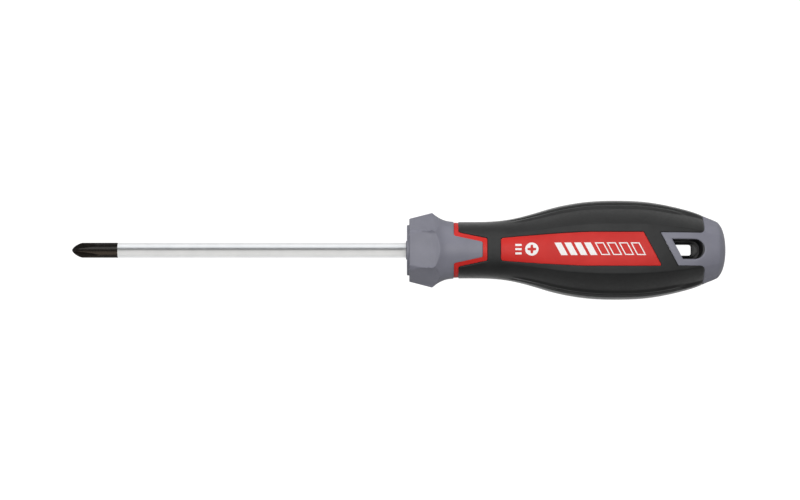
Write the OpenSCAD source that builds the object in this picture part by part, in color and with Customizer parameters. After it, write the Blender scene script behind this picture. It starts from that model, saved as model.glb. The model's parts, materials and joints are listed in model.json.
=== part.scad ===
// Screwdriver with a cross point, a round bar and a handle moulded in three plastics.
// The blade points along -X, the handle runs along +X, and the marked face looks up along +Z.
// The origin is on the blade's axis, where the bar leaves the handle.

/* [Blade] */
// Radius of the round bar
bar_r = 3; // [2.5:0.1:3.5]
// Exposed length, from the handle to the nose of the point
blade_len = 133.6; // [100:0.1:175]
// Length of the end that has a dark finish
dark_len = 18.4; // [15:0.1:30]
// Half angle of the point's cone, in degrees
point_angle = 26.5; // [25:0.5:28]
// Radius of the blunt nose
nose_r = 1.14; // [0.9:0.02:1.3]
// Height of the nose in front of the cone
nose_h = 0.68; // [0.3:0.02:0.8]
// How far back from the nose the four flutes run out
flute_len = 11.4; // [9:0.1:14]
// Distance from the axis to the bottom of a flute at the nose
web_r = 0.85; // [0.7:0.01:1]
// Radius of the bar's hidden tang
tang_r = 2.5; // [2.2:0.05:2.6]
// Length of the tang inside the handle
tang_len = 88; // [70:1:95]
// Width of the pressed wings that stop the tang turning
wing_w = 9; // [7:0.1:11]

/* [Handle outline] */
// Length of the handle
handle_len = 127.6; // [126:0.1:130]
// Radius across the collar's corners at its front
collar_front_r = 12.6; // [12:0.1:13]
// Radius across the collar's corners at its widest
collar_r = 14.9; // [14:0.1:16]
// Where the collar is widest
collar_x = 10; // [9:0.1:10.5]
// Half width of the flat that faces up on the collar
flat_half = 7.46; // [6.5:0.01:7.5]
// Radius of the neck
neck_r = 11.3; // [10.5:0.1:12]
// Radius of the belly across its ribs
belly_r = 19.8; // [18:0.1:21]
// How much the six lands of the grip are flattened, as a share of its radius
land_share = 0.07; // [0.03:0.01:0.1]

/* [Inlays] */
// Where the collar stops at the sides of the neck
valley_x = 19; // [18:0.1:20]
// Where the collar's two tongues end
tongue_x = 30.4; // [28:0.1:31]
// Half width of a tongue at its root
tongue_root = 5.6; // [5:0.1:6]
// Half width of a tongue at its end
tongue_tip = 3.1; // [2.5:0.1:4]
// Width of the band round each tongue
band_w = 1.85; // [1.2:0.05:2.2]
// Where the panel on each face starts
panel_x = 37.6; // [36:0.1:40]
// Half width of the panel at its narrow end
panel_start = 4.6; // [4:0.1:5]
// Half width of the panel at its wide end
panel_end = 6.8; // [6:0.1:7]
// Where the panel's slanted end crosses its centre line
panel_cut_x = 97.3; // [94:0.1:98]
// Slant of the panel's end, the cap's frame and the slot, in degrees
slant = 28; // [20:1:30]

/* [End cap] */
// Where the frame's slanted edge crosses its centre line
frame_x = 104; // [103.6:0.1:104.5]
// Half width of the frame
frame_half = 6.65; // [6.4:0.05:7]
// Where the grip's lobes end
lobe_x = 118.3; // [117:0.1:119]
// Where the slot's slanted end crosses its centre line
slot_x = 107.2; // [107.2:0.1:107.5]
// Centre of the slot's round end
slot_round_x = 114.15; // [113.5:0.05:114.5]
// Half height of the slot at the faces
slot_half = 4.07; // [4:0.01:4.3]
// Half height of the slot's throat
throat_half = 2.2; // [2.1:0.05:2.4]
// Wall of the slot's liner
liner_wall = 0.7; // [0.5:0.05:0.9]

/* [Hidden] */
$fn = 96;

far = 60;               // reach of the solids that only cut
nose_x = -blade_len;
dark_x = nose_x + dark_len;
cone_x = nose_x + nose_h + (bar_r - nose_r) / tan(point_angle);
wheel_r = (flute_len * flute_len + pow(bar_r - web_r, 2)) / (2 * (bar_r - web_r));
flute_depth = 4;        // height of the V that cuts a flute
tang_chamfer = 0.6;

hub_r = 3.7;            // small ring round the bar
boss_r = 10.1;          // disc on the collar's front
boss_x = 0.35;
face_x = 1.3;           // the collar's front face
rim = 0.4;              // rounding of the collar's front edge
crest_x = collar_x + 0.8;
crest_r = collar_r - 0.2;
hex_end_x = 15;         // the neck is inside the hexagon from here on

core_x = 4;             // where the core starts under the collar
core_neck_r = 8.3;
core_end_x = 103;       // where the core meets the cap's stem
skin = 2.2;             // grip thickness over the core on the lands

tail_x = handle_len - 3.4;
tail_r = 11.3;
dome_r = 32;            // crown radius of the end face
corner_drop = 1.6;      // how far the end face falls away at its edge

throat_wall = 2;        // half thickness of the web round the throat
throat_right_x = 114;
throat_corner = 1.3;

grip_step = 3.5;        // spacing of the profile's stations
land_step = 7;          // spacing of the lands' stations
arc_steps = 5;          // segments in a rounded corner

// The outline behind the collar: each knot is [x, radius, slope].
swell = belly_r - neck_r;
knots = [
    [crest_x, crest_r, -0.9],
    [valley_x - 0.4, neck_r + 0.1, -0.05],
    [27, neck_r, 0],
    [42, neck_r + 0.13 * swell, 0.19],
    [55, neck_r + 0.535 * swell, 0.31],
    [68, neck_r + 0.88 * swell, 0.155],
    [83, belly_r, 0],
    [98, belly_r - 0.8, -0.14],
    [112, belly_r - 3.75, -0.27],
    [119, 13.55, -0.45],
    [tail_x, tail_r, -0.5],
];

function hermite(a, b, t, h) =
    (1 + 2 * t) * pow(1 - t, 2) * a[1] + t * pow(1 - t, 2) * h * a[2]
    + t * t * (3 - 2 * t) * b[1] + t * t * (t - 1) * h * b[2];

function knot_before(x, i = 0) =
    i >= len(knots) - 2 || x <= knots[i + 1][0] ? i : knot_before(x, i + 1);

function body_r(x) =
    let (i = knot_before(x), a = knots[i], b = knots[i + 1], h = b[0] - a[0])
    hermite(a, b, (x - a[0]) / h, h);

function smooth(t) =
    let (u = max(0, min(1, t)))
    u * u * (3 - 2 * u);

// Distance from the axis to a land; in front of the grip it clears the round neck.
function land_r(x) =
    let (s = smooth((x - 34) / 24))
    body_r(x) * (1 - land_share * s) + 0.3 * (1 - s);

function core_r(x) = x < 27 ? core_neck_r
    : max(core_neck_r, body_r(x) * (1 - land_share) - skin);

function end_x(r) = handle_len - r * r / (2 * dome_r) - corner_drop * pow(r / (tail_r + 0.4), 6);

function stations(x0, x1, step) =
    let (n = ceil((x1 - x0) / step))
    [for (i = [0 : n]) x0 + (x1 - x0) * i / n];

// An outline with each corner [x, y, radius] rounded by an arc.
function corner_arc(p, c, q) =
    c[2] == 0 ? [[c[0], c[1]]] :
    let (
        to_p = [p[0] - c[0], p[1] - c[1]] / norm([p[0] - c[0], p[1] - c[1]]),
        to_q = [q[0] - c[0], q[1] - c[1]] / norm([q[0] - c[0], q[1] - c[1]]),
        half = acos(to_p * to_q) / 2,
        middle = (to_p + to_q) / norm(to_p + to_q),
        centre = [c[0], c[1]] + middle * c[2] / sin(half),
        side = to_p * c[2] / tan(half) + [c[0], c[1]] - centre,
        turn = (to_p[0] * to_q[1] - to_p[1] * to_q[0] > 0 ? -1 : 1) * (180 - 2 * half)
    )
    [for (i = [0 : arc_steps])
        let (a = turn * i / arc_steps)
        centre + [side[0] * cos(a) - side[1] * sin(a), side[0] * sin(a) + side[1] * cos(a)]];

function rounded(corners) =
    let (n = len(corners))
    [for (i = [0 : n - 1]) each corner_arc(corners[(i + n - 1) % n], corners[i], corners[(i + 1) % n])];

// Turns a profile of [radius, x] points round the X axis.
module lathe(points) {
    rotate([0, 90, 0]) rotate_extrude() polygon(points);
}

// Extrudes an outline seen from above through the whole handle, so both faces carry it.
module through() {
    linear_extrude(2 * far, center = true) children();
}

module before(x) {
    translate([-far, -far, -far]) cube([far + x, 2 * far, 2 * far]);
}

module behind(x) {
    translate([x, -far, -far]) cube([2 * far, 2 * far, 2 * far]);
}

module tongue_outline(grow) {
    lean = atan((tongue_root - tongue_tip) / (tongue_x - valley_x));
    out = grow / cos(lean) - grow * tan(lean);
    root = tongue_root + out;
    tip = tongue_tip + out;
    x0 = valley_x + grow;
    x1 = tongue_x + grow;
    polygon(rounded([
        [x0 - 4, -root - 3, 0],
        [x0, -root - 3, 0],
        [x0, -root, 0.9],
        [x1, -tip, 0.8],
        [x1, tip, 0.8],
        [x0, root, 0.9],
        [x0, root + 3, 0],
        [x0 - 4, root + 3, 0],
    ]));
}

// The space that the collar fills; grown by the band's width, it takes the band too.
module collar_zone(grow = 0) {
    before(valley_x + grow);
    through() tongue_outline(grow);
}

function panel_half(x) =
    let (run = 72 - panel_x, t = max(0, (72 - x) / run))
    panel_end - (panel_end - panel_start) * pow(t, 1.3);

module panel_zone() {
    side = [for (x = [panel_x + 8 : 8 : 72]) [x, panel_half(x), 0]];
    shift = panel_end * tan(slant);
    through() polygon(rounded(concat(
        [[panel_x, -panel_start, 1.2], [panel_x, panel_start, 1.2]],
        side,
        [[panel_cut_x - shift, panel_end, 0.5], [panel_cut_x + shift, -panel_end, 0.5]],
        [for (i = [len(side) - 1 : -1 : 0]) [side[i][0], -side[i][1], 0]]
    )));
}

module cap_zone() {
    shift = frame_half * tan(slant);
    behind(lobe_x);
    through() polygon(rounded([
        [frame_x - shift, frame_half, 0.3],
        [lobe_x, frame_half, 1.2],
        [lobe_x, frame_half + 3, 0],
        [lobe_x + 3, frame_half + 3, 0],
        [lobe_x + 3, -frame_half - 3, 0],
        [lobe_x, -frame_half - 3, 0],
        [lobe_x, -frame_half, 1.2],
        [frame_x + shift, -frame_half, 0.3],
    ]));
}

// Outline of the slot; a wall draws it in at the top, the bottom and the round end.
module slot_outline(wall) {
    h = slot_half - wall;
    shift = h * tan(slant);
    polygon(concat(
        [[slot_x + shift, -h]],
        [for (a = [-90 : 15 : 90]) [slot_round_x + h * cos(a), h * sin(a)]],
        [[slot_x - shift, h]]
    ));
}

// A thin slice of the collar's hexagon, corners at the sides.
module hex_slice(x, half_height, corner) {
    translate([x, 0, 0]) rotate([90, 0, 90]) linear_extrude(0.02) polygon([
        [flat_half, half_height],
        [corner, 0],
        [flat_half, -half_height],
        [-flat_half, -half_height],
        [-corner, 0],
        [-flat_half, half_height],
    ]);
}

module hexagon() {
    hull() {
        hex_slice(-1, collar_front_r - 2.2, collar_front_r - 0.6);
        hex_slice(collar_x, collar_r * cos(30) - 0.1, collar_r + 0.05);
        hex_slice(hex_end_x, collar_r * cos(30) - 0.4, collar_r + 0.05);
    }
}

module collar_form() {
    back = [for (x = stations(crest_x, tongue_x + 2, 1.6)) [body_r(x), x]];
    intersection() {
        lathe(concat(
            [
                [0, 0],
                [hub_r, 0],
                [hub_r, boss_x],
                [boss_r - 0.3, boss_x],
                [boss_r, boss_x + 0.3],
                [boss_r, face_x],
                [collar_front_r - rim, face_x],
                [collar_front_r, face_x + rim],
                [collar_r, collar_x],
            ],
            back,
            [[0, tongue_x + 2]]
        ));
        union() {
            hexagon();
            behind(hex_end_x);
        }
    }
}

module land_prism() {
    xs = stations(valley_x - 1, tail_x + 3.6, land_step);
    polygon_points = concat(
        [for (x = xs) [x, land_r(min(x, tail_x))]],
        [for (i = [len(xs) - 1 : -1 : 0]) [xs[i], -land_r(min(xs[i], tail_x))]]
    );
    rotate([90, 0, 0]) linear_extrude(far, center = true) polygon(polygon_points);
}

// The grip's whole outer form, from the neck to the end face.
module grip_form() {
    side = [for (x = stations(valley_x, tail_x, grip_step)) [body_r(x), x]];
    dome = [for (i = [7 : -1 : 0]) let (r = (tail_r - 0.05) * i / 7) [r, end_x(r)]];
    intersection() {
        lathe(concat([[0, valley_x]], side, dome));
        intersection_for (turn = [0, 60, 120])
            rotate([turn, 0, 0]) land_prism();
    }
}

// The round inner body between two planes.
module inner_form(x0, x1) {
    side = [for (x = stations(x0, x1, grip_step)) [core_r(x), x]];
    lathe(concat([[0, x0]], side, [[0, x1]]));
}

module tang() {
    lathe([
        [0, 0],
        [tang_r, 0],
        [tang_r, tang_len - tang_chamfer],
        [tang_r - tang_chamfer, tang_len],
        [0, tang_len],
    ]);
    for (wing = [[62, 0], [74, 90]])
        rotate([wing[1], 0, 0])
            translate([wing[0], -wing_w / 2, -0.8]) cube([8, wing_w, 1.6]);
}

module blade_tip() {
    color("#2b2725")
    difference() {
        lathe([
            [0, nose_x],
            [nose_r * 0.7, nose_x + nose_h * 0.3],
            [nose_r, nose_x + nose_h],
            [bar_r, cone_x],
            [bar_r, dark_x],
            [0, dark_x],
        ]);
        for (turn = [45 : 90 : 315])
            rotate([turn, 0, 0])
                translate([nose_x, 0, web_r + wheel_r])
                    rotate([90, 0, 0]) rotate_extrude($fn = 360) polygon([
                        [wheel_r, 0],
                        [wheel_r - flute_depth, flute_depth],
                        [wheel_r - flute_depth, -flute_depth],
                    ]);
    }
}

module blade_shank() {
    color("#dcdee0") {
        lathe([
            [0, dark_x],
            [bar_r, dark_x],
            [bar_r, 0],
            [0, 0],
        ]);
        tang();
    }
}

module handle_core() {
    color("#c73a36")
    difference() {
        union() {
            inner_form(core_x, core_end_x);
            intersection() {
                grip_form();
                union() {
                    panel_zone();
                    difference() {
                        collar_zone(band_w);
                        collar_zone();
                    }
                }
            }
        }
        tang();
    }
}

module front_collar() {
    color("#888995")
    difference() {
        intersection() {
            collar_form();
            collar_zone();
        }
        inner_form(core_x, core_end_x);
        tang();
    }
}

module soft_grip() {
    color("#3a3b3b")
    difference() {
        grip_form();
        inner_form(core_x, lobe_x);
        collar_zone(band_w);
        panel_zone();
        cap_zone();
    }
}

module end_cap() {
    color("#888995")
    difference() {
        union() {
            intersection() {
                grip_form();
                cap_zone();
            }
            inner_form(core_end_x, lobe_x);
        }
        inner_form(core_x, core_end_x);
        through() slot_outline(0);
    }
}

// The dark lining of the slot: a C-shaped wall with a web that narrows it to the throat.
module slot_liner() {
    color("#202022")
    difference() {
        intersection() {
            grip_form();
            through() slot_outline(0);
        }
        for (side = [0, 1])
            mirror([0, 0, side])
                translate([0, 0, throat_wall]) linear_extrude(far) slot_outline(liner_wall);
        through() polygon(rounded([
            [slot_x - slot_half, -throat_half, 0],
            [throat_right_x, -throat_half, throat_corner],
            [throat_right_x, throat_half, throat_corner],
            [slot_x - slot_half, throat_half, 0],
        ]));
    }
}

blade_tip();
blade_shank();
handle_core();
front_collar();
soft_grip();
end_cap();
slot_liner();
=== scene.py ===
import json
import math

import bmesh
import bpy
import numpy as np
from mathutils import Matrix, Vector
from mathutils.geometry import delaunay_2d_cdt

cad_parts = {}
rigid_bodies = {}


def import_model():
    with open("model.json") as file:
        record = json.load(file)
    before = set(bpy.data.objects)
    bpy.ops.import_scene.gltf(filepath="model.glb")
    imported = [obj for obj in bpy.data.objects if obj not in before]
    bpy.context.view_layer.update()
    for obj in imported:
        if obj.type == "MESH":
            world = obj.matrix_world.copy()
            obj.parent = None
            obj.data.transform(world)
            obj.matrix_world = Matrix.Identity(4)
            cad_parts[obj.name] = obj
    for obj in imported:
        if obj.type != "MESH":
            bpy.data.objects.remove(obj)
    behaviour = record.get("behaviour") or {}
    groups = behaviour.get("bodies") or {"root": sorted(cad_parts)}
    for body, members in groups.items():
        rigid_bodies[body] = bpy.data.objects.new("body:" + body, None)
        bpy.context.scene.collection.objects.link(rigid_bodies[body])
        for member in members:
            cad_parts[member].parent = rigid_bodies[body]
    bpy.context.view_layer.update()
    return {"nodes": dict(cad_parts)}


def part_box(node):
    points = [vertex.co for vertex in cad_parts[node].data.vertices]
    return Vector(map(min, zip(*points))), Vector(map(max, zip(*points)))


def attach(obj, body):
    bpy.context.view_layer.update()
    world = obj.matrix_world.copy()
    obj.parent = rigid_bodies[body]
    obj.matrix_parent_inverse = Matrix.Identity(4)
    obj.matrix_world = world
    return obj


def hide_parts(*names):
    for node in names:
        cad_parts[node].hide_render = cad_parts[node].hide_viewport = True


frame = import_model()

MM = 0.001


def lowest(node):
    return np.array(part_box(node)[0]) / MM


def highest(node):
    return np.array(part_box(node)[1]) / MM


# --- Sizes read from the frame ------------------------------------------------------------------

NOSE_X = lowest("blade_tip")[0]
DARK_X, BAR_R, _ = highest("blade_tip")
TONGUE_X, COLLAR_R, _ = highest("front_collar")     # where the tongues end; across the hexagon's corners
LOBE_X, BELLY_R, _ = highest("soft_grip")           # where the grip's lobes end; across its ribs
HANDLE_LEN = highest("end_cap")[0]

# --- Sizes of the handle's outline and inlays, the same as the CAD model's ----------------------

COLLAR_FRONT_R = 12.6           # the collar's radius at its front and where it is widest
COLLAR_X = 10.0
FLAT_HALF = 7.46                # half width of the hexagon's flat that faces up
NECK_R = 11.3
LAND_SHARE = 0.07               # how much the grip's lands are flattened
HUB_R = 3.7                     # the ring round the bar and the disc behind it
BOSS_R = 10.1
BOSS_X = 0.35                   # how far the ring stands in front of the disc
FACE_X = 1.3                    # the collar's front face and its rounded edge
RIM = 0.4
VALLEY_X = 19.0                 # where the collar stops beside the tongues
TONGUE_ROOT = 5.6
TONGUE_TIP = 3.1
BAND_W = 1.85
PANEL_X = 37.6                  # where the panel starts and where it reaches its full width
PANEL_FULL_X = 72.0
PANEL_START = 4.6
PANEL_END = 6.8
PANEL_CUT_X = 97.3              # where slanted ends cross the centre line
FRAME_X = 104.0
SLOT_X = 107.2
SLANT = math.tan(math.radians(28))
FRAME_HALF = 6.65
SLOT_ROUND_X = 114.15           # centre of the slot's round end
SLOT_HALF = 4.07
THROAT_HALF = 2.2
THROAT_RIGHT_X = 114.0
WEB_Z = 2.0                     # half thickness of the web round the throat
TAIL_X = HANDLE_LEN - 3.4       # where the side meets the crowned end
TAIL_R = 11.3
DOME_R = 32.0
CORNER_DROP = 1.6

FLUTE_LEN = 11.4
WEB_R = 0.85                    # from the axis to a flute's bottom at the nose

# --- Sizes of what only the looks have ----------------------------------------------------------

POINT_LEN = 4.4                 # the point's bullet-shaped part
GROOVE_ANGLE = 70.0             # from the marked face round to the groove along each side
GROOVE_HALF = 0.5
GROOVE_DEPTH = 1.3
LIP = 0.45                      # height of the lip on the groove's inner side
SCOOP = 0.6                     # depth of the collar's scooped flats
SCOOP_X = 3.5                   # where the scoops start, and how far back they reach their depth
SCOOP_RUN = 7.0
FLAT_Z = (10.9, 12.85)          # height of the flat that faces up, at the front face and at the crest
CORNER_Y = (12.75, 15.05)       # half width across the side corners, at the same two places
PATCH_X0 = 16.0                 # the inlaid stretch of the handle, between two turned ends
PATCH_X1 = 121.5
PRINT_BAR_X = 44.5              # middle of the printed bars, of the disc, and of the first block and frame
PRINT_DISC_X = 49.75
PRINT_DISC_R = 2.62
PRINT_BLOCK_X = 61.2
PRINT_FRAME_X = 77.4
PLANE_R = 15.0                  # radius that turns angles into lengths while triangulating
RING_OFFSETS = (0.06, 0.15, 0.27, 0.42)     # extra lines of points beside each outline
SLOT_GAP = 0.03                 # between the slot's lining and the frame round it

SWELL = BELLY_R - NECK_R
KNOTS = np.array([              # [x, radius, slope] behind the collar's crest
    [COLLAR_X + 0.8, COLLAR_R - 0.2, -0.9],
    [VALLEY_X - 0.4, NECK_R + 0.1, -0.05],
    [27, NECK_R, 0],
    [42, NECK_R + 0.13 * SWELL, 0.19],
    [55, NECK_R + 0.535 * SWELL, 0.31],
    [68, NECK_R + 0.88 * SWELL, 0.155],
    [83, BELLY_R, 0],
    [98, BELLY_R - 0.8, -0.14],
    [112, BELLY_R - 3.75, -0.27],
    [119, 13.55, -0.45],
    [TAIL_X, TAIL_R, -0.5],
])


# --- The handle's outer form --------------------------------------------------------------------

def smooth(t):
    """0 up to t = 0 and 1 from t = 1, with an even rise between."""
    t = np.clip(t, 0, 1)
    return t * t * (3 - 2 * t)


def smooth_min(a, b, k):
    """The smaller of two values, blended where they differ by less than k."""
    h = np.clip(0.5 + 0.5 * (b - a) / k, 0, 1)
    return b + (a - b) * h - k * h * (1 - h)


def body_r(x):
    """Radius of the round body that the handle is cut from, a cubic between each pair of knots."""
    x = np.asarray(x, float)
    i = np.clip(np.searchsorted(KNOTS[:, 0], x) - 1, 0, len(KNOTS) - 2)
    x0, r0, s0 = KNOTS[i, 0], KNOTS[i, 1], KNOTS[i, 2]
    x1, r1, s1 = KNOTS[i + 1, 0], KNOTS[i + 1, 1], KNOTS[i + 1, 2]
    h = x1 - x0
    t = (x - x0) / h
    return ((1 + 2 * t) * (1 - t) ** 2 * r0 + t * (1 - t) ** 2 * h * s0
            + t * t * (3 - 2 * t) * r1 + t * t * (t - 1) * h * s1)


def grip_r(x, psi):
    """Radius at x and at the angle psi from the marked face: six bowed lands with soft creases."""
    big = body_r(x)
    share = LAND_SHARE * smooth((x - 34) / 24) * (1 - 0.6 * smooth((x - 112) / 12))
    land = big * (1 - share)
    sag = land - big * math.cos(math.pi / 6)
    bow = ((big / 2) ** 2 + sag ** 2) / (2 * sag)
    centre = land - bow
    turn = np.abs((psi + math.pi / 6) % (math.pi / 3) - math.pi / 6)

    def arc(a):
        return centre * np.cos(a) + np.sqrt(bow ** 2 - (centre * np.sin(a)) ** 2)

    r = smooth_min(arc(turn), arc(math.pi / 3 - turn), 2.5 * share + 1e-6)
    side = smooth((np.abs(psi) - math.radians(64)) / math.radians(10))
    return r + (big - r) * side


def groove(x, psi):
    """Depth of the groove along each side, less the lip on its inner edge."""
    ends = smooth((x - 40) / 9) * smooth((112.5 - x) / 7)
    q = (np.abs(psi) - math.radians(GROOVE_ANGLE)) * body_r(x) / GROOVE_HALF
    cut = 1 - smooth(1.5 * np.abs(q) - 0.5)
    return ends * (GROOVE_DEPTH * cut - LIP * np.exp(-((q + 2.8) / 1.5) ** 2) * (q < 0))


def collar_r(x, psi):
    """Radius of the hexagonal collar, with a scoop in each flat that deepens towards the back."""
    slope = (COLLAR_R + 0.08 - COLLAR_FRONT_R) / (COLLAR_X + 0.55 - FACE_X)
    front = COLLAR_FRONT_R + (x - FACE_X) * slope
    crest_x, crest_r, crest_slope = KNOTS[0]
    rear = np.where(x < crest_x, crest_r + crest_slope * (x - crest_x), body_r(np.maximum(x, crest_x)))
    turned = smooth_min(front, rear, 0.3)
    ramp = (x - FACE_X) / (COLLAR_X - FACE_X)
    height = FLAT_Z[0] + (FLAT_Z[1] - FLAT_Z[0]) * np.minimum(ramp, 1)
    corner = CORNER_Y[0] + (CORNER_Y[1] - CORNER_Y[0]) * np.minimum(ramp, 1)
    tilt = np.arctan2(height, corner - FLAT_HALF)
    length = np.hypot(height, corner - FLAT_HALF)
    scooped = np.clip((x - SCOOP_X) / SCOOP_RUN, 0, 1)
    depth = SCOOP * scooped * (1 - smooth((x - COLLAR_X - 1.2) / 2.6))
    wall = 0.25 + 0.5 * scooped

    def flat(distance, angle, half):
        across = distance * np.tan(np.clip(angle, -1.2, 1.2))
        sunk = distance - depth * smooth((half - np.abs(across)) / wall)
        return sunk / np.cos(np.clip(angle, -1.2, 1.2))

    a = np.abs(psi)
    hexagon = smooth_min(
        flat(height, a, FLAT_HALF),
        flat(corner * np.sin(tilt), a - tilt, length / 2),
        0.12,
    )
    return smooth_min(turned, hexagon + 3 * smooth((x - 14.3) / 1.7), 0.12)


def end_x(r):
    """The crowned end's x at a radius."""
    return HANDLE_LEN - r * r / (2 * DOME_R) - CORNER_DROP * (r / (TAIL_R + 0.4)) ** 6


def point(x, psi, r):
    return np.stack([x, r * np.sin(psi), r * np.cos(psi)], axis=-1)


def to_psi(x, y):
    """The angle at which the handle's surface has this y."""
    psi = np.arcsin(np.clip(y / body_r(x), -1, 1))
    for _ in range(15):
        psi = np.arcsin(np.clip(y / grip_r(x, psi), -1, 1))
    return psi


# --- Outlines of the inlays, seen from above ----------------------------------------------------

def rounded(corners, steps=6):
    """Points of an outline whose corners are [x, y, radius]; a radius of 0 keeps the corner."""
    points = []
    n = len(corners)
    for i, (cx, cy, radius) in enumerate(corners):
        c = np.array([cx, cy])
        if radius == 0:
            points.append(c)
            continue
        to_p = np.array(corners[i - 1][:2]) - c
        to_q = np.array(corners[(i + 1) % n][:2]) - c
        to_p /= np.linalg.norm(to_p)
        to_q /= np.linalg.norm(to_q)
        half = math.acos(np.clip(to_p @ to_q, -1, 1)) / 2
        middle = (to_p + to_q) / np.linalg.norm(to_p + to_q)
        centre = c + middle * radius / math.sin(half)
        start = c + to_p * radius / math.tan(half) - centre
        turn = (math.pi - 2 * half) * (-1 if to_p[0] * to_q[1] - to_p[1] * to_q[0] > 0 else 1)
        for k in range(steps + 1):
            a = turn * k / steps
            points.append(centre + [start[0] * math.cos(a) - start[1] * math.sin(a),
                                    start[0] * math.sin(a) + start[1] * math.cos(a)])
    return np.array(points)


def resampled(points, step, closed):
    """The same outline with no stretch longer than step."""
    ends = np.vstack([points, points[:1]]) if closed else points
    out = []
    for p, q in zip(ends[:-1], ends[1:]):
        n = max(1, math.ceil(np.linalg.norm(q - p) / step))
        out += [p + (q - p) * k / n for k in range(n)]
    if not closed:
        out.append(ends[-1])
    return np.array(out)


def tongue_line(grow):
    """The collar's edge round a tongue, moved outwards by grow."""
    lean = math.atan((TONGUE_ROOT - TONGUE_TIP) / (TONGUE_X - VALLEY_X))
    out = grow / math.cos(lean) - grow * math.tan(lean)
    x0, x1 = VALLEY_X + grow, TONGUE_X + grow
    root, tip = TONGUE_ROOT + out, TONGUE_TIP + out
    return rounded([(x0, -root - 3, 0), (x0, -root, 0.9), (x1, -tip, 0.8),
                    (x1, tip, 0.8), (x0, root, 0.9), (x0, root + 3, 0)])


def cap_line():
    """The end cap's edge round its slanted frame."""
    shift = FRAME_HALF * SLANT
    return rounded([
        (LOBE_X, -FRAME_HALF - 3, 0), (LOBE_X, -FRAME_HALF, 1.7), (FRAME_X + shift, -FRAME_HALF, 0.3),
        (FRAME_X - shift, FRAME_HALF, 0.3), (LOBE_X, FRAME_HALF, 1.7), (LOBE_X, FRAME_HALF + 3, 0)])


def panel_line():
    """The panel's edge: it widens along a curve, and its rear end is slanted."""
    xs = np.arange(PANEL_X + 6, PANEL_FULL_X + 0.1, 4)
    run = (PANEL_FULL_X - xs) / (PANEL_FULL_X - PANEL_X)
    halves = PANEL_END - (PANEL_END - PANEL_START) * run ** 1.3
    shift = PANEL_END * SLANT
    return rounded(
        [(PANEL_X, -PANEL_START, 1.2), (PANEL_X, PANEL_START, 1.2)]
        + [(x, h, 0) for x, h in zip(xs, halves)]
        + [(PANEL_CUT_X - shift, PANEL_END, 0.5), (PANEL_CUT_X + shift, -PANEL_END, 0.5)]
        + [(x, -h, 0) for x, h in zip(xs[::-1], halves[::-1])])


def slot_line(steps=16):
    """The slot's outline from its slanted end along the bottom, round the far end and back."""
    turn = np.linspace(-math.pi / 2, math.pi / 2, steps + 1)
    arc = np.stack([SLOT_ROUND_X + SLOT_HALF * np.cos(turn), SLOT_HALF * np.sin(turn)], axis=1)
    shift = SLOT_HALF * SLANT
    return np.vstack([[[SLOT_X + shift, -SLOT_HALF]], arc, [[SLOT_X - shift, SLOT_HALF]]])


def wrapped(points, step, closed):
    """Plan points [x, y] as surface points [x, psi]; an open line is carried on to both sides."""
    points = resampled(points, step, closed)
    line = np.stack([points[:, 0], to_psi(points[:, 0], points[:, 1])], axis=1)
    if closed:
        return line
    side = math.pi / 2
    first = np.stack([np.full(12, line[0, 0]), np.linspace(-side, line[0, 1], 13)[:-1]], axis=1)
    last = np.stack([np.full(12, line[-1, 0]), np.linspace(line[-1, 1], side, 13)[1:]], axis=1)
    return np.vstack([first, line, last])


# Each outline as [x, psi], and whether it is closed.
LINES = {
    "collar": (wrapped(tongue_line(0), 0.45, False), False),
    "band": (wrapped(tongue_line(BAND_W), 0.45, False), False),
    "panel": (wrapped(panel_line(), 0.45, True), True),
    "cap": (wrapped(cap_line(), 0.45, False), False),
    "slot": (wrapped(slot_line(), 0.4, True), True),
}

# The rounded edge that each piece has at each of its borders, as (width, depth).
EDGES = {
    "collar": {"collar": (0.3, 0.3)},
    "band": {"collar": (0.2, 0.15), "band": (0.25, 0.2)},
    "grip": {"band": (0.4, 0.45), "panel": (0.35, 0.4), "cap": (0.4, 0.45)},
    "panel": {"panel": (0.25, 0.2)},
    "cap": {"cap": (0.3, 0.3), "slot": (0.5, 0.4)},
}
# How far each piece lies below the handle's surface.
LEVELS = {"collar": 0, "band": 0.35, "grip": 0, "panel": 0.15, "cap": 0.05}


def flat_plane(line):
    """[x, psi] as lengths on the surface."""
    return np.stack([line[:, 0], line[:, 1] * body_r(line[:, 0])], axis=1)


def distance_to(points, line, closed):
    """How far each point lies from an outline, along the surface."""
    p = flat_plane(points)
    a = flat_plane(line)
    b = np.roll(a, -1, axis=0)
    if not closed:
        a, b = a[:-1], b[:-1]
    best = np.full(len(p), np.inf)
    for start, end in zip(a, b):
        run = end - start
        t = np.clip((p - start) @ run / max(run @ run, 1e-12), 0, 1)
        best = np.minimum(best, np.hypot(*(p - start - t[:, None] * run).T))
    return best


def inside(points, outline):
    """Which points of a plane lie inside a closed outline."""
    odd = np.zeros(len(points), bool)
    for (x0, y0), (x1, y1) in zip(outline, np.roll(outline, -1, axis=0)):
        if y0 == y1:
            continue
        crosses = (y0 > points[:, 1]) != (y1 > points[:, 1])
        odd ^= crosses & (points[:, 0] < x0 + (points[:, 1] - y0) * (x1 - x0) / (y1 - y0))
    return odd


def columns():
    """Angles of the grid's columns, closest together at the collar's corners and the grooves."""
    half = np.concatenate([np.arange(0, 24, 2), np.arange(24, 38, 1), np.arange(39, 56, 2),
                           np.arange(56, 64, 1), np.arange(64, 74, 0.5), np.arange(74, 78, 1),
                           np.arange(78, 91, 2)])
    return np.radians(np.concatenate([-half[:0:-1], half]))


COLUMNS = columns()


def clear_of_lines(points, gap):
    """Which points are further than gap from every outline."""
    clear = np.ones(len(points), bool)
    for line, closed in LINES.values():
        clear &= distance_to(points, line, closed) > gap
    return clear


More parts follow.
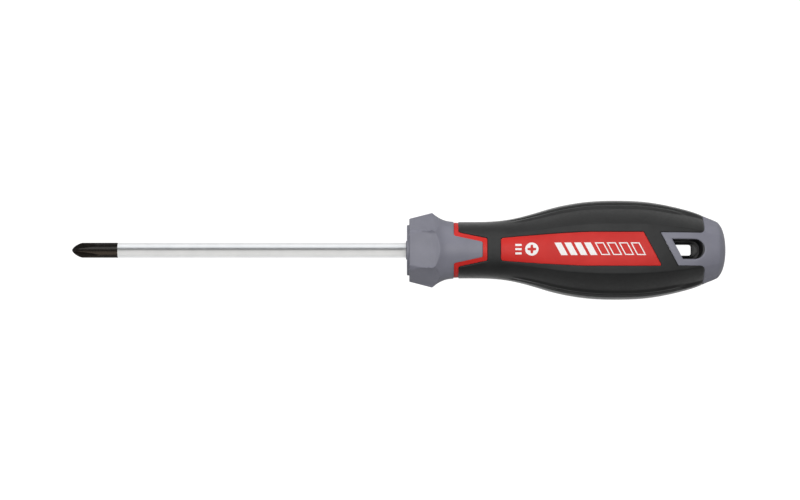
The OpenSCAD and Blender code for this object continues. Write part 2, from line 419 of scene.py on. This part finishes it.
def beside(line, closed):
    """Rows of points along both sides of an outline, where its rounded edge needs them."""
    flat = flat_plane(line)
    after = np.roll(flat, -1, axis=0)
    before = np.roll(flat, 1, axis=0)
    if not closed:
        after[-1], before[0] = flat[-1], flat[0]
    run = after - before
    normal = np.stack([-run[:, 1], run[:, 0]], axis=1) / np.linalg.norm(run, axis=1)[:, None]
    rows = []
    for offset in RING_OFFSETS:
        for side in (-1, 1):
            row = flat + side * offset * normal
            row = np.stack([row[:, 0], row[:, 1] / body_r(row[:, 0])], axis=1)
            if not closed:
                row[0, 1], row[-1, 1] = -math.pi / 2, math.pi / 2
            rows.append(row[clear_of_lines(row, 0.8 * offset)])
    return rows


def triangulated(lines, others):
    """Triangles over points of a plane that keep the edges of some lines: (points, triangles)."""
    edges = []
    start = 0
    for line, closed in lines:
        n = len(line)
        edges += [(start + i, start + (i + 1) % n) for i in range(n if closed else n - 1)]
        start += n
    plane = [Vector(p) for p in np.vstack([line for line, _ in lines] + [others])]
    found = delaunay_2d_cdt(plane, edges, [], 0, 1e-6)
    return np.array([tuple(v) for v in found[0]]), np.array(found[2])


def triangulate_patch():
    """Triangles over the inlaid stretch that follow every outline: ([x, psi] points, triangles)."""
    rows = [row for line, closed in LINES.values() for row in beside(line, closed)]
    xs = np.linspace(PATCH_X0, PATCH_X1, round(PATCH_X1 - PATCH_X0) + 1)
    grid = np.stack(np.meshgrid(xs, COLUMNS, indexing="ij"), axis=-1).reshape(-1, 2)
    border = (np.abs(grid[:, 0] - PATCH_X0) < 1e-9) | (np.abs(grid[:, 0] - PATCH_X1) < 1e-9)
    grid = grid[clear_of_lines(grid, 0.62) | border]
    scale = np.array([1, PLANE_R])
    lines = [(line * scale, closed) for line, closed in LINES.values()]
    points, triangles = triangulated(lines, np.vstack(rows + [grid]) * scale)
    return points / scale, triangles


def piece_names(points, triangles):
    """The name of the piece that each triangle belongs to."""
    middle = flat_plane(points[triangles].mean(axis=1))

    def within(line):
        return inside(middle, flat_plane(line))

    def ahead(name):
        far = -400
        return within(np.vstack([LINES[name][0], [[far, math.pi / 2], [far, -math.pi / 2]]]))

    names = np.full(len(triangles), "grip", dtype=object)
    names[~ahead("cap")] = "cap"
    names[ahead("band")] = "band"
    names[ahead("collar")] = "collar"
    names[within(LINES["panel"][0])] = "panel"
    names[within(LINES["slot"][0])] = "slot"
    return names


# --- Mesh building ------------------------------------------------------------------------------

class Patch:
    """Vertices and faces of the half of a piece that faces up."""

    def __init__(self):
        self.points = []
        self.faces = []

    def add(self, points, faces):
        start = len(self.points)
        self.points += [tuple(p) for p in points]
        self.faces += [tuple(int(i) + start for i in f) for f in faces]

    def grid(self, rows):
        """Rows of points, each with the same number of points."""
        rows = np.asarray(rows)
        m, n = rows.shape[:2]
        faces = [(i * n + j, i * n + j + 1, (i + 1) * n + j + 1, (i + 1) * n + j)
                 for i in range(m - 1) for j in range(n - 1)]
        self.add(rows.reshape(-1, 3), faces)

    def mirrored(self):
        """The patch with its mirror image below, joined where they meet."""
        both = Patch()
        both.add(self.points, self.faces)
        both.add([(x, y, -z) for x, y, z in self.points], [f[::-1] for f in self.faces])
        return both

    def welded(self):
        """Points and faces with one point where several lie in one place."""
        points = np.array(self.points)
        _, first, index = np.unique(np.round(points, 4), axis=0, return_index=True, return_inverse=True)
        index = index.reshape(-1)
        faces = []
        for f in self.faces:
            g = [int(index[i]) for i in f]
            g = [v for k, v in enumerate(g) if v != g[k - 1]]
            if len(set(g)) == len(g) and len(g) > 2:
                faces.append(g)
        return points[first], faces


def border_edges(faces):
    """Edges that only one face has, in that face's direction."""
    seen = {}
    for f in faces:
        for k, v in enumerate(f):
            seen.setdefault(frozenset((f[k - 1], v)), []).append((f[k - 1], v))
    return [found[0] for found in seen.values() if len(found) == 1]


def make_object(name, points, faces, material, slot, replaced=(), sharp=35):
    """A visible piece from points in millimetres, smooth but for edges over the sharp angle."""
    mesh = bpy.data.meshes.new(name)
    mesh.from_pydata([tuple(np.asarray(p) * MM) for p in points], [], faces)
    mesh.validate()
    fix = bmesh.new()
    fix.from_mesh(mesh)
    bmesh.ops.recalc_face_normals(fix, faces=fix.faces)
    fix.to_mesh(mesh)
    fix.free()
    mesh.shade_smooth()
    mesh.set_sharp_from_angle(angle=math.radians(sharp))
    mesh.materials.append(material)
    piece = bpy.data.objects.new(name, mesh)
    bpy.context.scene.collection.objects.link(piece)
    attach(piece, "root")
    if replaced:
        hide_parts(*replaced)


patch_points, patch_triangles = triangulate_patch()
patch_names = piece_names(patch_points, patch_triangles)
patch_distance = {name: distance_to(patch_points, line, closed) for name, (line, closed) in LINES.items()}


def rounding(distance, width, depth):
    """How far an edge's quarter round drops at this distance from the border."""
    t = 1 - np.clip(distance / width, 0, 1)
    return depth * (1 - np.sqrt(1 - t * t))


def patch_part(name):
    """The outer surface of one piece within the inlaid stretch."""
    x, psi = patch_points[:, 0], patch_points[:, 1]
    r = grip_r(x, psi) - groove(x, psi) - LEVELS[name]
    for border, (width, depth) in EDGES[name].items():
        r = r - rounding(patch_distance[border], width, depth)
    chosen = patch_triangles[patch_names == name]
    used, index = np.unique(chosen, return_inverse=True)
    return point(x, psi, r)[used], index.reshape(-1, 3), used


def skirt(points, faces, depth):
    """Carries a surface's open borders towards the axis."""
    points = np.asarray(points)
    radius = np.hypot(points[:, 1], points[:, 2])
    inner = points.copy()
    inner[:, 1:] *= (1 - depth / radius)[:, None]
    n = len(points)
    walls = [(b, a, a + n, b + n) for a, b in border_edges(faces)]
    return np.vstack([points, inner]), faces + walls


def shell(points, faces, thickness):
    """Closes a surface with a skirt and an inner skin."""
    n = len(points)
    back = [[v + n for v in f[::-1]] for f in faces]
    points, walled = skirt(points, faces, thickness)
    return points, walled + back


def ring(x, r, psi=COLUMNS):
    """A row of points round the axis at one x, with one radius or one for each angle."""
    return point(np.full_like(psi, x), psi, np.broadcast_to(r, psi.shape))


# --- Materials ----------------------------------------------------------------------------------

class Shader:
    """A small helper that adds nodes to one material."""

    def __init__(self, name):
        self.material = bpy.data.materials.new(name)
        self.material.use_nodes = True
        self.tree = self.material.node_tree
        self.bsdf = self.tree.nodes["Principled BSDF"]
        self.place = self.node("ShaderNodeTexCoord").outputs["Object"]

    def node(self, kind, **values):
        made = self.tree.nodes.new(kind)
        for key, value in values.items():
            setattr(made, key, value)
        return made

    def link(self, out, into):
        self.tree.links.new(out, into)

    def noise(self, size_mm, detail=2.0, rough=0.5, stretch=None):
        """Noise whose features are about size_mm across."""
        place = self.place
        if stretch:
            mapping = self.node("ShaderNodeMapping")
            mapping.inputs["Scale"].default_value = stretch
            self.link(place, mapping.inputs["Vector"])
            place = mapping.outputs["Vector"]
        made = self.node("ShaderNodeTexNoise")
        made.inputs["Scale"].default_value = 1 / (size_mm * MM)
        made.inputs["Detail"].default_value = detail
        made.inputs["Roughness"].default_value = rough
        self.link(place, made.inputs["Vector"])
        return made.outputs["Fac"]

    def ranged(self, value, low, high, from_low=0.3, from_high=0.7):
        made = self.node("ShaderNodeMapRange")
        made.inputs["From Min"].default_value = from_low
        made.inputs["From Max"].default_value = from_high
        made.inputs["To Min"].default_value = low
        made.inputs["To Max"].default_value = high
        self.link(value, made.inputs["Value"])
        return made.outputs["Result"]

    def ramp(self, value, low, high, from_low=0.35, from_high=0.65):
        made = self.node("ShaderNodeValToRGB")
        made.color_ramp.elements[0].position = from_low
        made.color_ramp.elements[0].color = (*low, 1)
        made.color_ramp.elements[1].position = from_high
        made.color_ramp.elements[1].color = (*high, 1)
        self.link(value, made.inputs["Fac"])
        return made.outputs["Color"]

    def colour(self, out):
        self.link(out, self.bsdf.inputs["Base Color"])

    def roughness(self, out):
        self.link(out, self.bsdf.inputs["Roughness"])

    def bumps(self, *layers):
        """Each layer is (height output, height in mm)."""
        normal = None
        for height, size_mm in layers:
            made = self.node("ShaderNodeBump")
            made.inputs["Strength"].default_value = 1.0
            made.inputs["Distance"].default_value = size_mm * MM
            self.link(height, made.inputs["Height"])
            if normal:
                self.link(normal, made.inputs["Normal"])
            normal = made.outputs["Normal"]
        self.link(normal, self.bsdf.inputs["Normal"])

    def set(self, **values):
        for key, value in values.items():
            self.bsdf.inputs[key.replace("_", " ")].default_value = value


def moulded_plastic(name, low, high, rough, grain_mm, grain_height):
    """Plastic whose colour wanders between two values, with a fine grain from the mould."""
    s = Shader(name)
    s.colour(s.ramp(s.noise(9, 3), low, high))
    s.roughness(s.ranged(s.noise(2.5, 3), rough - 0.05, rough + 0.05))
    s.bumps((s.noise(grain_mm, 3, 0.6), grain_height), (s.noise(6, 1), 0.01))
    return s


def grey_plastic():
    low, high = (0.187, 0.189, 0.229), (0.208, 0.21, 0.253)
    s = moulded_plastic("grey_plastic", low, high, 0.42, 0.22, 0.006)
    s.set(Specular_IOR_Level=0.25)
    return s.material


def red_plastic():
    low, high = (0.53, 0.022, 0.019), (0.58, 0.027, 0.023)
    s = moulded_plastic("red_plastic", low, high, 0.4, 0.2, 0.004)
    s.set(Specular_IOR_Level=0.15)
    return s.material


def soft_rubber():
    s = Shader("black_soft_grip")
    s.colour(s.ramp(s.noise(7, 4, 0.6), (0.011, 0.0113, 0.0113), (0.0145, 0.0149, 0.0149)))
    s.roughness(s.ranged(s.noise(1.6, 3), 0.42, 0.52))
    s.bumps((s.noise(0.3, 3, 0.65), 0.022), (s.noise(0.9, 2, 0.6), 0.022), (s.noise(5, 2), 0.015))
    s.set(Specular_IOR_Level=0.28, Sheen_Weight=0.12, Sheen_Roughness=0.35)
    return s.material


# Near-black for the slot's lining: partly a dark plastic, partly painted shade of the deep slot.
def black_plastic():
    low, high = (0.011, 0.0116, 0.0135), (0.015, 0.0158, 0.018)
    s = moulded_plastic("black_plastic", low, high, 0.45, 0.25, 0.006)
    s.set(Specular_IOR_Level=0.36)
    return s.material


def satin_chrome():
    s = Shader("satin_chrome")
    s.colour(s.ramp(s.noise(4, 4), (0.7, 0.705, 0.71), (0.735, 0.738, 0.742)))
    lines = s.noise(0.12, 4, 0.7, stretch=(1.0, 0.08, 0.08))
    s.roughness(s.ranged(lines, 0.34, 0.41))
    s.bumps((lines, 0.0008))
    s.set(Metallic=1.0)
    return s.material


def black_oxide():
    s = Shader("black_oxide_steel")
    s.colour(s.ramp(s.noise(1.2, 4, 0.6), (0.008, 0.0068, 0.006), (0.02, 0.0168, 0.0145)))
    lines = s.noise(0.1, 3, 0.6, stretch=(1.0, 0.15, 0.15))
    s.roughness(s.ranged(lines, 0.22, 0.32))
    s.bumps((lines, 0.003), (s.noise(0.5, 3), 0.006))
    s.set(Specular_IOR_Level=0.5)
    return s.material


def white_print():
    s = Shader("white_print")
    s.colour(s.ramp(s.noise(0.6, 4, 0.6), (0.78, 0.76, 0.76), (0.86, 0.84, 0.84)))
    s.roughness(s.ranged(s.noise(0.4, 3), 0.4, 0.5))
    s.bumps((s.noise(0.12, 2), 0.003))
    return s.material


def pale_floor():
    s = Shader("pale_floor")
    s.colour(s.ramp(s.noise(60, 2), (0.17, 0.17, 0.17), (0.18, 0.18, 0.18)))
    s.set(Roughness=0.7, Specular_IOR_Level=0.2, Emission_Color=(1, 1, 1, 1), Emission_Strength=0.95)
    return s.material


GREY = grey_plastic()
RED = red_plastic()
RUBBER = soft_rubber()
BLACK_AND_SHADE = black_plastic()
CHROME = satin_chrome()
OXIDE = black_oxide()
WHITE = white_print()


# --- Pieces -------------------------------------------------------------------------------------

def build_collar():
    """The hexagonal collar: front disc, scooped flats, neck and two tongues."""
    front = [(1.2, BAR_R + 0.03), (0.06, BAR_R + 0.03), (0, BAR_R + 0.1), (0, HUB_R - 0.1),
             (0.08, HUB_R), (BOSS_X, HUB_R + 0.04), (BOSS_X, BOSS_R - 0.35),
             (BOSS_X + 0.08, BOSS_R - 0.1), (BOSS_X + 0.3, BOSS_R), (FACE_X, BOSS_R)]
    rows = [ring(x, r) for x, r in front]
    rim_r = collar_r(FACE_X + RIM, COLUMNS)
    rows.append(ring(FACE_X, (BOSS_R + rim_r - RIM) / 2))
    for a in np.radians(np.linspace(0, 90, 6)):
        rows.append(ring(FACE_X + RIM * (1 - math.cos(a)), rim_r - RIM * (1 - math.sin(a))))
    for x in np.arange(FACE_X + RIM + 0.35, PATCH_X0 + 0.01, 0.35):
        rows.append(ring(min(x, PATCH_X0), collar_r(min(x, PATCH_X0), COLUMNS)))
    rows.append(ring(PATCH_X0, grip_r(PATCH_X0, COLUMNS)))
    half = Patch()
    half.grid(rows)
    half.add(*patch_part("collar")[:2])
    points, faces = half.mirrored().welded()
    points, faces = skirt(points, faces, 1.5)
    make_object("collar", points, faces, GREY, "grey_plastic", ["front_collar"])


def patch_shell(name, thickness):
    """A piece that lies all within the inlaid stretch, on both faces of the handle."""
    half = Patch()
    half.add(*patch_part(name)[:2])
    return shell(*half.mirrored().welded(), thickness)


def build_core():
    """The red core where it shows: a band round the tongues and a panel on each face."""
    for part, name in (("band", "core_band"), ("panel", "core_panels")):
        make_object(name, *patch_shell(part, 1.8), RED, "red_plastic", ["handle_core"])


def build_grip():
    """The soft grip, with openings for the panels and lobes beside the cap's frames."""
    shape = patch_shell("grip", 1.6)
    make_object("soft_grip_skin", *shape, RUBBER, "black_soft_grip", ["soft_grip"])


def build_cap():
    """The grey end cap with its frame, the slot's walls and the crowned end."""
    half = Patch()
    points, faces, used = patch_part("cap")
    half.add(points, faces)
    at_slot = patch_distance["slot"][used] < 1e-6
    rows = []
    for x in np.linspace(PATCH_X1, TAIL_X, 5):
        rows.append(ring(x, grip_r(x, COLUMNS)))
    edge = grip_r(TAIL_X, COLUMNS) / TAIL_R
    for share in (0.99, 0.975, 0.95, 0.92, 0.88, 0.83, 0.77, 0.7, 0.6, 0.5, 0.4, 0.3, 0.2, 0.1, 0.0):
        r = TAIL_R * share
        rows.append(ring(end_x(r), r * (1 + (edge - 1) * smooth((share - 0.5) * 2))))
    half.grid(rows)
    for a, b in border_edges(faces.tolist()):
        if at_slot[a] and at_slot[b]:
            p, q = points[a], points[b]
            half.add([q, p, (p[0], p[1], 0), (q[0], q[1], 0)], [(0, 1, 2, 3)])
    points, faces = half.mirrored().welded()
    make_object("cap", points, faces, GREY, "grey_plastic", ["end_cap"])


def ring_path(centre_x, reach, half, power=1.0, steps=24, end_steps=8):
    """A line from the slot's slanted end along the bottom, round the far end and back.

    The far end is an ellipse at a power of 1, more pointed above it and more square below it.
    """
    turn = np.linspace(-math.pi / 2, math.pi / 2, steps + 1)
    x = centre_x + reach * np.abs(np.cos(turn)) ** power
    y = half * np.sign(np.sin(turn)) * np.abs(np.sin(turn)) ** power
    arc = np.stack([x, y], axis=1)
    t = np.linspace(0, 1, end_steps, endpoint=False)[:, None]
    first = np.array([SLOT_X + SLOT_GAP + half * SLANT, -half])
    last = np.array([SLOT_X + SLOT_GAP - half * SLANT, half])
    back = arc[-1] + (last - arc[-1]) * (t + 1 / end_steps)
    return np.vstack([first + (arc[0] - first) * t, arc, back])


def wall_path(inset, half, power=1.0):
    """The slot's outline, drawn in by inset at its far end and narrowed to half."""
    return ring_path(SLOT_ROUND_X, SLOT_HALF - inset, half, power)


def throat_path(grow):
    """The throat's outline, with as many points as wall_path gives."""
    return ring_path(THROAT_RIGHT_X + grow - THROAT_HALF, THROAT_HALF, THROAT_HALF + grow, 0.4)


def surface_z(x, y):
    """Height of the handle's surface."""
    psi = to_psi(x, y)
    return grip_r(x, psi) * np.cos(psi)


def raised(path, z):
    """A path at one height or at one for each of its points."""
    return np.column_stack([path, np.broadcast_to(z, len(path))])


def build_liner():
    """The slot's lining: a wall open at the slanted end, and the web round the throat. Its near-black
    colour is partly the lining's own and partly painted shade of the deep slot.
    """
    outer = wall_path(SLOT_GAP, SLOT_HALF - SLOT_GAP)
    rim = surface_z(outer[:, 0], outer[:, 1]) - 0.55
    rows = [raised(outer, 0), raised(outer, rim - 0.15)]
    for inset, drop in ((0.1, 0.03), (0.22, 0), (0.55, 0.05), (0.78, 0.2), (0.9, 0.5), (0.95, 1.0)):
        rows.append(raised(wall_path(inset, SLOT_HALF - 0.35 * inset), rim - drop))
    rows.append(raised(wall_path(1.0, 3.6), 0.4))
    for inset, half, z in ((1.65, 2.95, 0.3), (1.7, 2.9, WEB_Z + 0.3), (1.8, 2.65, WEB_Z + 0.6)):
        rows.append(raised(wall_path(inset, half, power=1.6), z))
    for grow, z in ((0.35, WEB_Z + 0.5), (0.12, WEB_Z + 0.4), (0.03, WEB_Z + 0.2),
                    (0, WEB_Z - 0.1), (0, 0)):
        rows.append(raised(throat_path(grow), z))
    half = Patch()
    half.grid(rows)
    for end in (0, -1):
        edge = [row[end] for row in rows]
        half.add(edge, [tuple(range(len(edge)))])
    points, faces = half.mirrored().welded()
    make_object("slot_lining", points, faces, BLACK_AND_SHADE, "black_plastic", ["slot_liner"])


def blade_section(x, psi):
    """Radius of the ground point: a bullet shape with four square flutes that run out backwards."""
    back = x - NOSE_X
    round_r = BAR_R * (1 - (1 - np.clip(back / POINT_LEN, 0, 1)) ** 1.5) ** (2 / 3)
    wheel = (FLUTE_LEN ** 2 + (BAR_R - WEB_R) ** 2) / (2 * (BAR_R - WEB_R))
    web = WEB_R + wheel - np.sqrt(wheel ** 2 - np.minimum(back, FLUTE_LEN + 3) ** 2)
    low = np.minimum(np.abs(np.sin(psi)), np.abs(np.cos(psi)))
    flute = web / math.sqrt(2) / np.maximum(low, 1e-4)
    return smooth_min(round_r, np.minimum(flute, 30), 0.22)


def build_point():
    """The black-finished end of the blade, with its flutes and a fine line where the finish stops."""
    turn = np.radians(np.linspace(-90, 90, 121))
    backs = np.concatenate([np.linspace(0.02, 0.3, 6), np.linspace(0.45, 14, 80),
                            np.linspace(14.6, DARK_X - NOSE_X - 0.1, 8)])
    rows = [ring(NOSE_X, 0, turn)]
    for back in backs:
        rows.append(ring(NOSE_X + back, blade_section(NOSE_X + back, turn), turn))
    for x, r in ((DARK_X - 0.03, BAR_R - 0.02), (DARK_X, BAR_R - 0.07), (DARK_X, 0)):
        rows.append(ring(x, r, turn))
    half = Patch()
    half.grid(rows)
    points, faces = half.mirrored().welded()
    make_object("point", points, faces, OXIDE, "black_oxide_steel", ["blade_tip"], sharp=50)


def decal(name, loops):
    """Thin print that follows the panel: what lies inside an odd number of the loops."""
    loops = [resampled(np.array(loop), 0.35, True) for loop in loops]
    corners = np.vstack(loops)
    low, high = corners.min(axis=0), corners.max(axis=0)
    xs = np.arange(low[0] + 0.25, high[0], 0.5)
    ys = np.arange(low[1] + 0.25, high[1], 0.5)
    grid = np.stack(np.meshgrid(xs, ys, indexing="ij"), axis=-1).reshape(-1, 2)
    near = np.min(np.linalg.norm(grid[:, None] - corners[None], axis=2), axis=1)
    flat, triangles = triangulated([(loop, True) for loop in loops], grid[near > 0.2])
    middle = flat[triangles].mean(axis=1)
    odd = np.logical_xor.reduce([inside(middle, loop) for loop in loops])
    psi = to_psi(flat[:, 0], flat[:, 1])
    points = point(flat[:, 0], psi, grip_r(flat[:, 0], psi) - LEVELS["panel"] + 0.03)
    points, faces = shell(points, triangles[odd].tolist(), 0.08)
    make_object(name, points, faces, WHITE, "white_print")


def leaning_box(x, half_width, half_height):
    """A parallelogram that leans like the panel's end."""
    shift = half_height * SLANT
    return [(x - half_width + shift, -half_height), (x + half_width + shift, -half_height),
            (x + half_width - shift, half_height), (x - half_width - shift, half_height)]


def build_print():
    """Generic marks: a cross in a disc, three bars, and a row of leaning blocks and frames."""
    turn = np.linspace(0, 2 * math.pi, 64, endpoint=False)
    disc = np.stack([PRINT_DISC_X + PRINT_DISC_R * np.cos(turn), PRINT_DISC_R * np.sin(turn)], axis=1)
    cross = []
    for quarter in range(4):
        c, n = math.cos(quarter * math.pi / 2), math.sin(quarter * math.pi / 2)
        for u, v in ((1.7, -0.42), (1.7, 0.42), (0.58, 0.58)):
            cross.append((PRINT_DISC_X + u * c - v * n, u * n + v * c))
    decal("print_disc", [disc, cross])
    bars = [[(PRINT_BAR_X - 1.25, y - 0.4), (PRINT_BAR_X + 1.25, y - 0.4),
             (PRINT_BAR_X + 1.25, y + 0.4), (PRINT_BAR_X - 1.25, y + 0.4)] for y in (-1.7, 0, 1.7)]
    decal("print_bars", bars)
    decal("print_blocks", [leaning_box(PRINT_BLOCK_X + 3.85 * i, 1.3, 2.5) for i in range(4)])
    frames = []
    for i in range(4):
        x = PRINT_FRAME_X + 4.7 * i
        frames += [leaning_box(x, 1.75, 2.5), leaning_box(x, 1.3, 2.1)]
    decal("print_frames", frames)


build_point()
build_collar()
build_core()
build_grip()
build_cap()
build_liner()
build_print()

shank = frame["nodes"]["blade_shank"]
shank.data.materials.clear()
shank.data.materials.append(CHROME)


# --- Floor, light and camera --------------------------------------------------------------------

FLOOR_Z = -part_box("soft_grip")[1].z - 0.0004


def build_stage():
    """A pale floor that turns up into four low walls, far from the tool."""
    mesh = bpy.data.meshes.new("floor")
    size = 3.0
    corners = [(-size, -size), (size, -size), (size, size), (-size, size)]
    mesh.from_pydata([(x, y, z) for z in (FLOOR_Z, 1.5) for x, y in corners], [],
                     [(0, 1, 2, 3), (0, 1, 5, 4), (1, 2, 6, 5), (2, 3, 7, 6), (3, 0, 4, 7)])
    mesh.materials.append(pale_floor())
    floor = bpy.data.objects.new("floor", mesh)
    bpy.context.scene.collection.objects.link(floor)


def area_light(name, place, turn, size, radiance, colour, receivers):
    """A rectangular light, turned about X from facing down."""
    light = bpy.data.lights.new(name, "AREA")
    light.shape = "RECTANGLE"
    light.size, light.size_y = size
    light.energy = radiance * math.pi * size[0] * size[1]
    light.color = colour
    holder = bpy.data.objects.new(name, light)
    holder.location = place
    holder.rotation_euler = (turn, 0, 0)
    holder.light_linking.receiver_collection = receivers
    holder.visible_camera = False
    bpy.context.scene.collection.objects.link(holder)


def softbox(name, angles, xs, radiance, colour, receivers):
    """A light round the tool, between two angles from the vertical towards +Y and two x."""
    distance = 1.6
    low, high = (math.radians(a) for a in angles)
    middle = (low + high) / 2
    place = ((xs[0] + xs[1]) / 2, distance * math.sin(middle), distance * math.cos(middle))
    size = (xs[1] - xs[0], 2 * distance * math.tan((high - low) / 2))
    area_light(name, place, -middle, size, radiance, colour, receivers)


def bounce(name, ys, height, radiance, receivers):
    """A light just over the floor that faces up, between two y."""
    place = (0, (ys[0] + ys[1]) / 2, FLOOR_Z + height)
    area_light(name, place, math.pi, (3, ys[1] - ys[0]), radiance, (1, 1, 1), receivers)


def build_light():
    """Softboxes linked to groups of pieces, to place their reflections.

    The floor's own glow only reaches the floor: softboxes just over it stand in for its bounce.
    """
    groups = {"blade_shank": ("bar",), "point": ("point",), "soft_grip_skin": ("grip", "handle"),
              "floor": ("rest", "floor")}
    lit = {name: bpy.data.collections.new(name + "_receivers")
           for name in ("bar", "point", "grip", "handle", "floor", "rest")}
    for o in bpy.context.scene.objects:
        if o.type == "MESH":
            for name in groups.get(o.name, ("rest", "handle")):
                lit[name].objects.link(o)
    bpy.data.objects["floor"].light_linking.receiver_collection = lit["floor"]
    world = bpy.data.worlds.new("studio")
    world.use_nodes = True
    world.node_tree.nodes["Background"].inputs["Color"].default_value = (0.95, 0.97, 1, 1)
    world.node_tree.nodes["Background"].inputs["Strength"].default_value = 0.08
    bpy.context.scene.world = world
    softbox("overhead_softbox", (-14, 22), (-1.5, 1.3), 3.6, (1, 0.99, 0.975), lit["rest"])
    softbox("side_softbox", (60, 88), (-1.5, 1.3), 2.0, (1, 1, 1), lit["rest"])
    softbox("grip_softbox", (-40, 80), (-1.5, 1.3), 1.9, (1, 1, 1), lit["grip"])
    softbox("bar_near_softbox", (-87, 0), (-2, 2), 0.92, (1, 0.985, 0.96), lit["bar"])
    softbox("bar_far_softbox", (36, 90), (-2, 2), 1.28, (0.96, 0.98, 1), lit["bar"])
    softbox("point_near_softbox", (-74, -20), (-2, 2), 1.1, (1, 0.8, 0.62), lit["point"])
    softbox("point_far_softbox", (16, 48), (-2, 2), 1.3, (1, 0.99, 0.97), lit["point"])
    bounce("handle_bounce", (-1, 1), 0.0001, 0.3, lit["handle"])
    bounce("bar_bounce", (-1, 1), 0.0001, 0.8, lit["bar"])
    bounce("grip_rim_bounce", (-0.045, 0.06), 0.0002, 0.8, lit["grip"])


def build_camera():
    camera = bpy.data.cameras.new("camera")
    camera.lens = 135
    camera.sensor_width = 36
    camera.clip_end = 20
    holder = bpy.data.objects.new("camera", camera)
    tilt = math.radians(2)
    distance = 1.2
    target = Vector((-0.0024, 0.0001, 0))
    holder.location = target + distance * Vector((0, -math.sin(tilt), math.cos(tilt)))
    holder.rotation_euler = (tilt, 0, 0)
    bpy.context.scene.collection.objects.link(holder)
    bpy.context.scene.camera = holder


build_stage()
build_light()
build_camera()
bpy.context.scene.view_settings.view_transform = "Standard"
